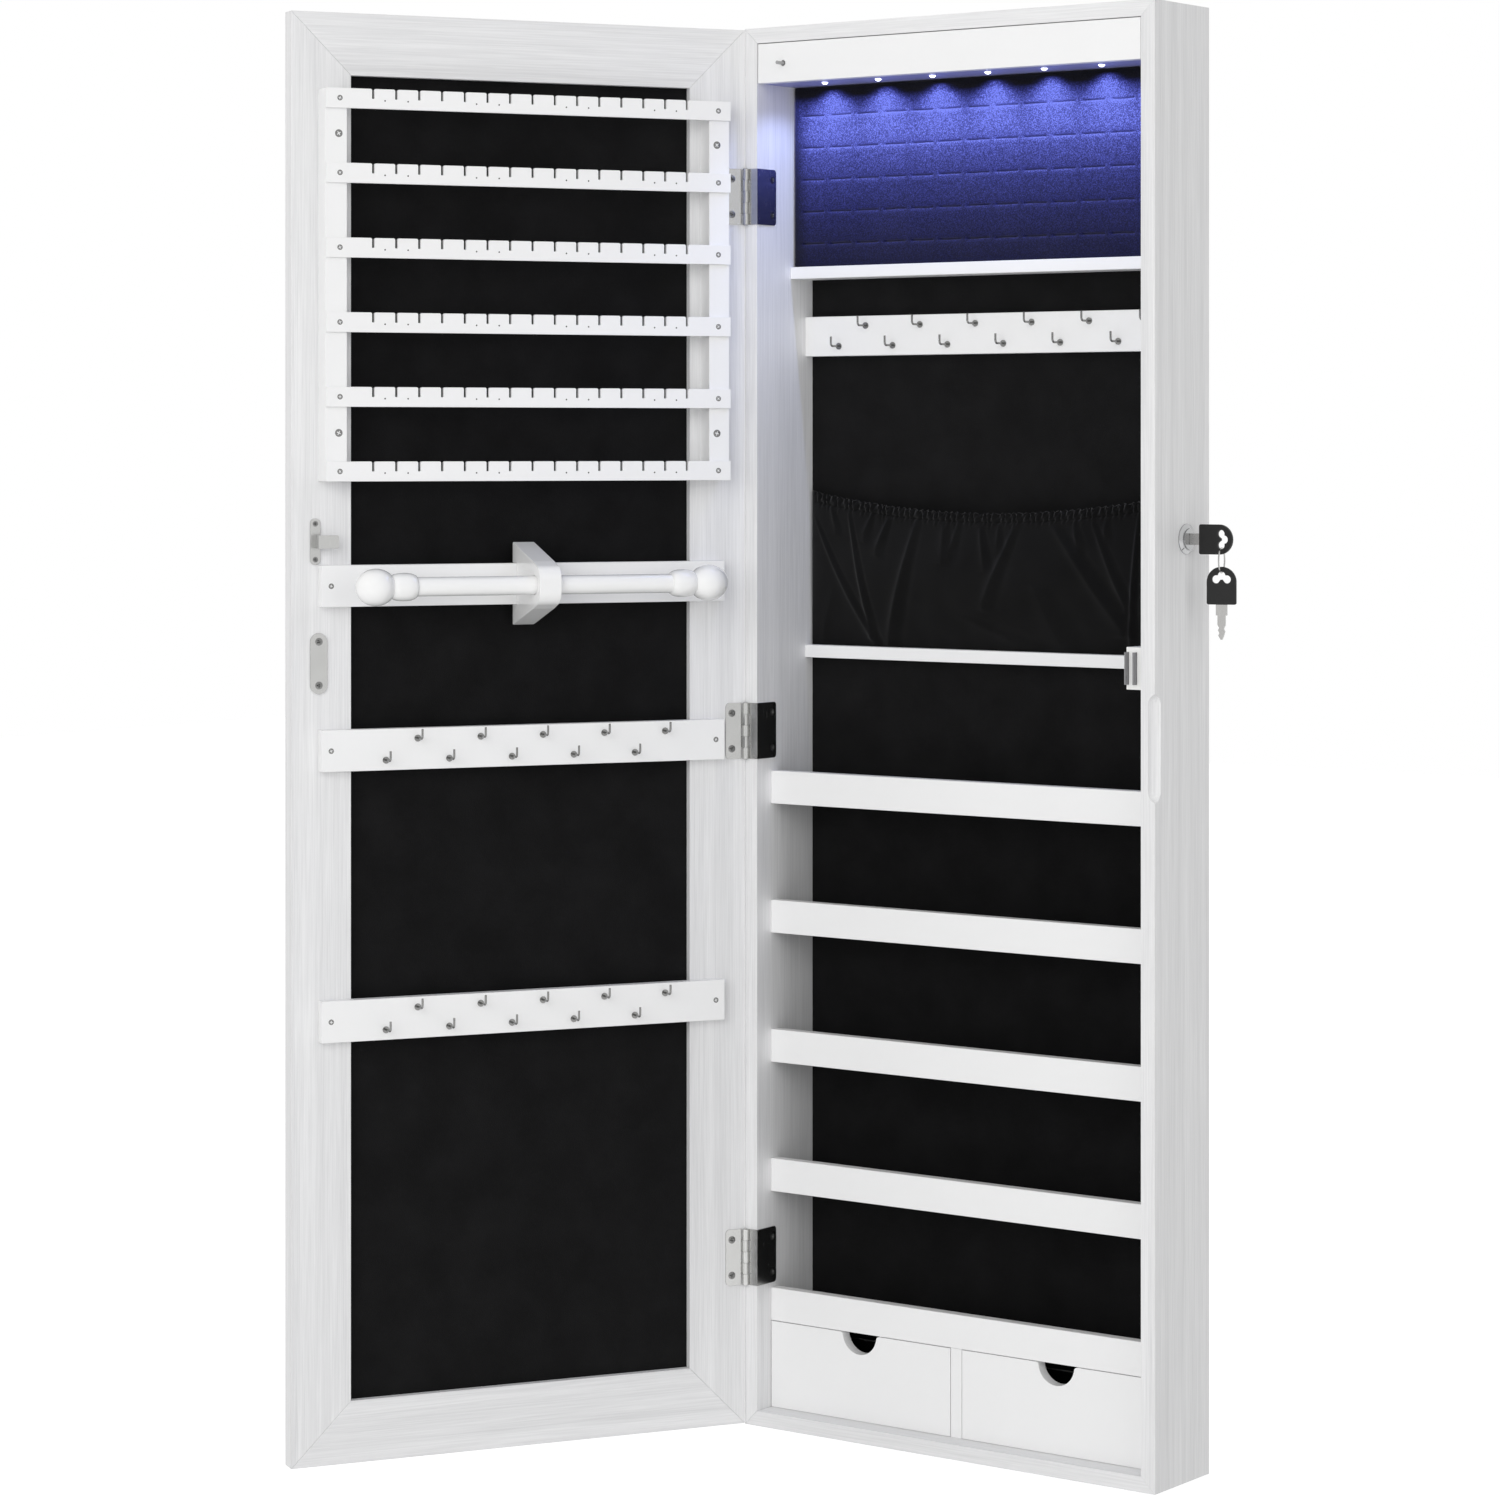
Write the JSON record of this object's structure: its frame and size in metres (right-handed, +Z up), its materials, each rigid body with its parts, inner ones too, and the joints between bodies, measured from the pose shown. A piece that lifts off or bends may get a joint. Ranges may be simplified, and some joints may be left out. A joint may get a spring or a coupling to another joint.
{
  "type": "wall jewellery cabinet",
  "caption": "Tall shallow wall cabinet with a framed mirror door, velvet back, ring cushion, hooks, open shelves, small drawers, an earring rack and a bracelet rod on the door.",
  "frame": {"origin": "centre of the underside of the case, on the middle of its depth", "axes": "+X to the right seen from the front, +Y towards the wall, +Z up; the door is open by 120 degrees"},
  "size_m": [0.615, 0.4023, 1.1],
  "materials": {
    "foil_white": "white foil with a fine upright grain, on board",
    "paint_white": "smooth white lacquer on board",
    "gloss_white": "glossy white lacquer on turned wood",
    "bare_board": "unpainted fibreboard",
    "velvet": "black velvet",
    "velvet_board": "board covered with black velvet",
    "nickel": "bright nickel plating",
    "zinc_steel": "zinc plated steel",
    "dark_steel": "plain steel round a ferrite magnet",
    "key_nickel": "nickel plated key metal",
    "chrome": "polished chrome",
    "black_plastic": "black moulded plastic",
    "white_plastic": "white moulded plastic",
    "circuit_green": "circuit board",
    "led_lens": "clear LED lens, lit blue-white",
    "mirror": "silvered glass"
  },
  "bodies": {
    "case": {"side_panel_left": "foil_white", "side_panel_right": "foil_white", "top_panel": "foil_white", "bottom_panel": "foil_white", "back_board": "foil_white", "back_lining": "velvet_board", "hanging_rail": "bare_board", "keyhole_hangers": "zinc_steel", "light_fascia": "paint_white", "light_box_floor": "paint_white", "led_board": "circuit_green", "led_lenses": "led_lens", "battery_pack": "black_plastic", "switch_body": "black_plastic", "ring_cushion": "velvet", "ring_shelf": "paint_white", "necklace_hook_board": "paint_white", "necklace_hooks": "nickel", "pocket_cloth": "velvet", "pocket_batten": "paint_white", "shelf_boards": "velvet_board", "shelf_rails": "paint_white", "drawer_divider": "paint_white", "catch_body": "white_plastic", "catch_magnet": "dark_steel", "hinge_case_leaves": "nickel", "hinge_pins": "nickel", "lock_body": "chrome", "lock_nut": "chrome", "case_screws": "nickel"},
    "door": {"stile_hinge_side": "foil_white", "stile_lock_side": "foil_white", "door_rail_top": "foil_white", "door_rail_bottom": "foil_white", "mirror_glass": "mirror", "door_lining": "velvet_board", "earring_rails": "paint_white", "earring_bars": "paint_white", "bracelet_board": "paint_white", "bracelet_bracket": "gloss_white", "bracelet_rod": "gloss_white", "bracelet_knobs": "gloss_white", "door_hook_boards": "paint_white", "door_hooks": "nickel", "hinge_door_leaves": "nickel", "door_screws": "nickel", "lock_strike": "nickel", "catch_strike": "nickel"},
    "drawer_left": {"drawer_left": "paint_white", "drawer_left_lining": "velvet_board"},
    "drawer_right": {"drawer_right": "paint_white", "drawer_right_lining": "velvet_board"},
    "lock_core": {"lock_plug": "chrome", "lock_cam": "zinc_steel"},
    "key": {"key_head": "black_plastic", "key_blade": "key_nickel"},
    "key_ring": {"key_ring": "key_nickel"},
    "spare_key": {"spare_key_head": "black_plastic", "spare_key_blade": "key_nickel"},
    "switch_plunger": {"switch_plunger": "white_plastic"}
  },
  "joints": [
    {"name": "door_hinge", "type": "hinge", "parent": "case", "child": "door", "pos_m": [-0.1847, -0.0423, 0.55], "axis": [0, 0, -1], "range_deg": [-120, 0]},
    {"name": "drawer_left_slide", "type": "slide", "parent": "case", "child": "drawer_left", "axis": [0, -1, 0], "range_m": [0, 0.045]},
    {"name": "drawer_right_slide", "type": "slide", "parent": "case", "child": "drawer_right", "axis": [0, -1, 0], "range_m": [0, 0.045]},
    {"name": "lock_turn", "type": "hinge", "parent": "case", "child": "lock_core", "pos_m": [0.18, 0.0054, 0.702], "axis": [1, 0, 0], "range_deg": [0, 90]},
    {"name": "key_slide", "type": "slide", "parent": "lock_core", "child": "key", "axis": [1, 0, 0], "range_m": [0, 0.02]},
    {"name": "key_ring_hang", "type": "hinge", "parent": "key", "child": "key_ring", "pos_m": [0.2179, 0.0054, 0.69288], "axis": [1, 0, 0], "range_deg": [-90, 0]},
    {"name": "spare_key_swing", "type": "hinge", "parent": "key_ring", "child": "spare_key", "pos_m": [0.2179, 0.0054, 0.6774], "axis": [-0.2756, 0.9613, 0], "range_deg": [-20, 20]},
    {"name": "plunger_slide", "type": "slide", "parent": "case", "child": "switch_plunger", "axis": [0, -1, 0], "range_m": [-0.0028, 0]}
  ],
  "couplings": [
    {"joint": "key_ring_hang", "follows": "lock_turn", "ratio": -1},
    {"joint": "plunger_slide", "follows": "door_hinge", "m_per_rad": 0.0012892}
  ]
}
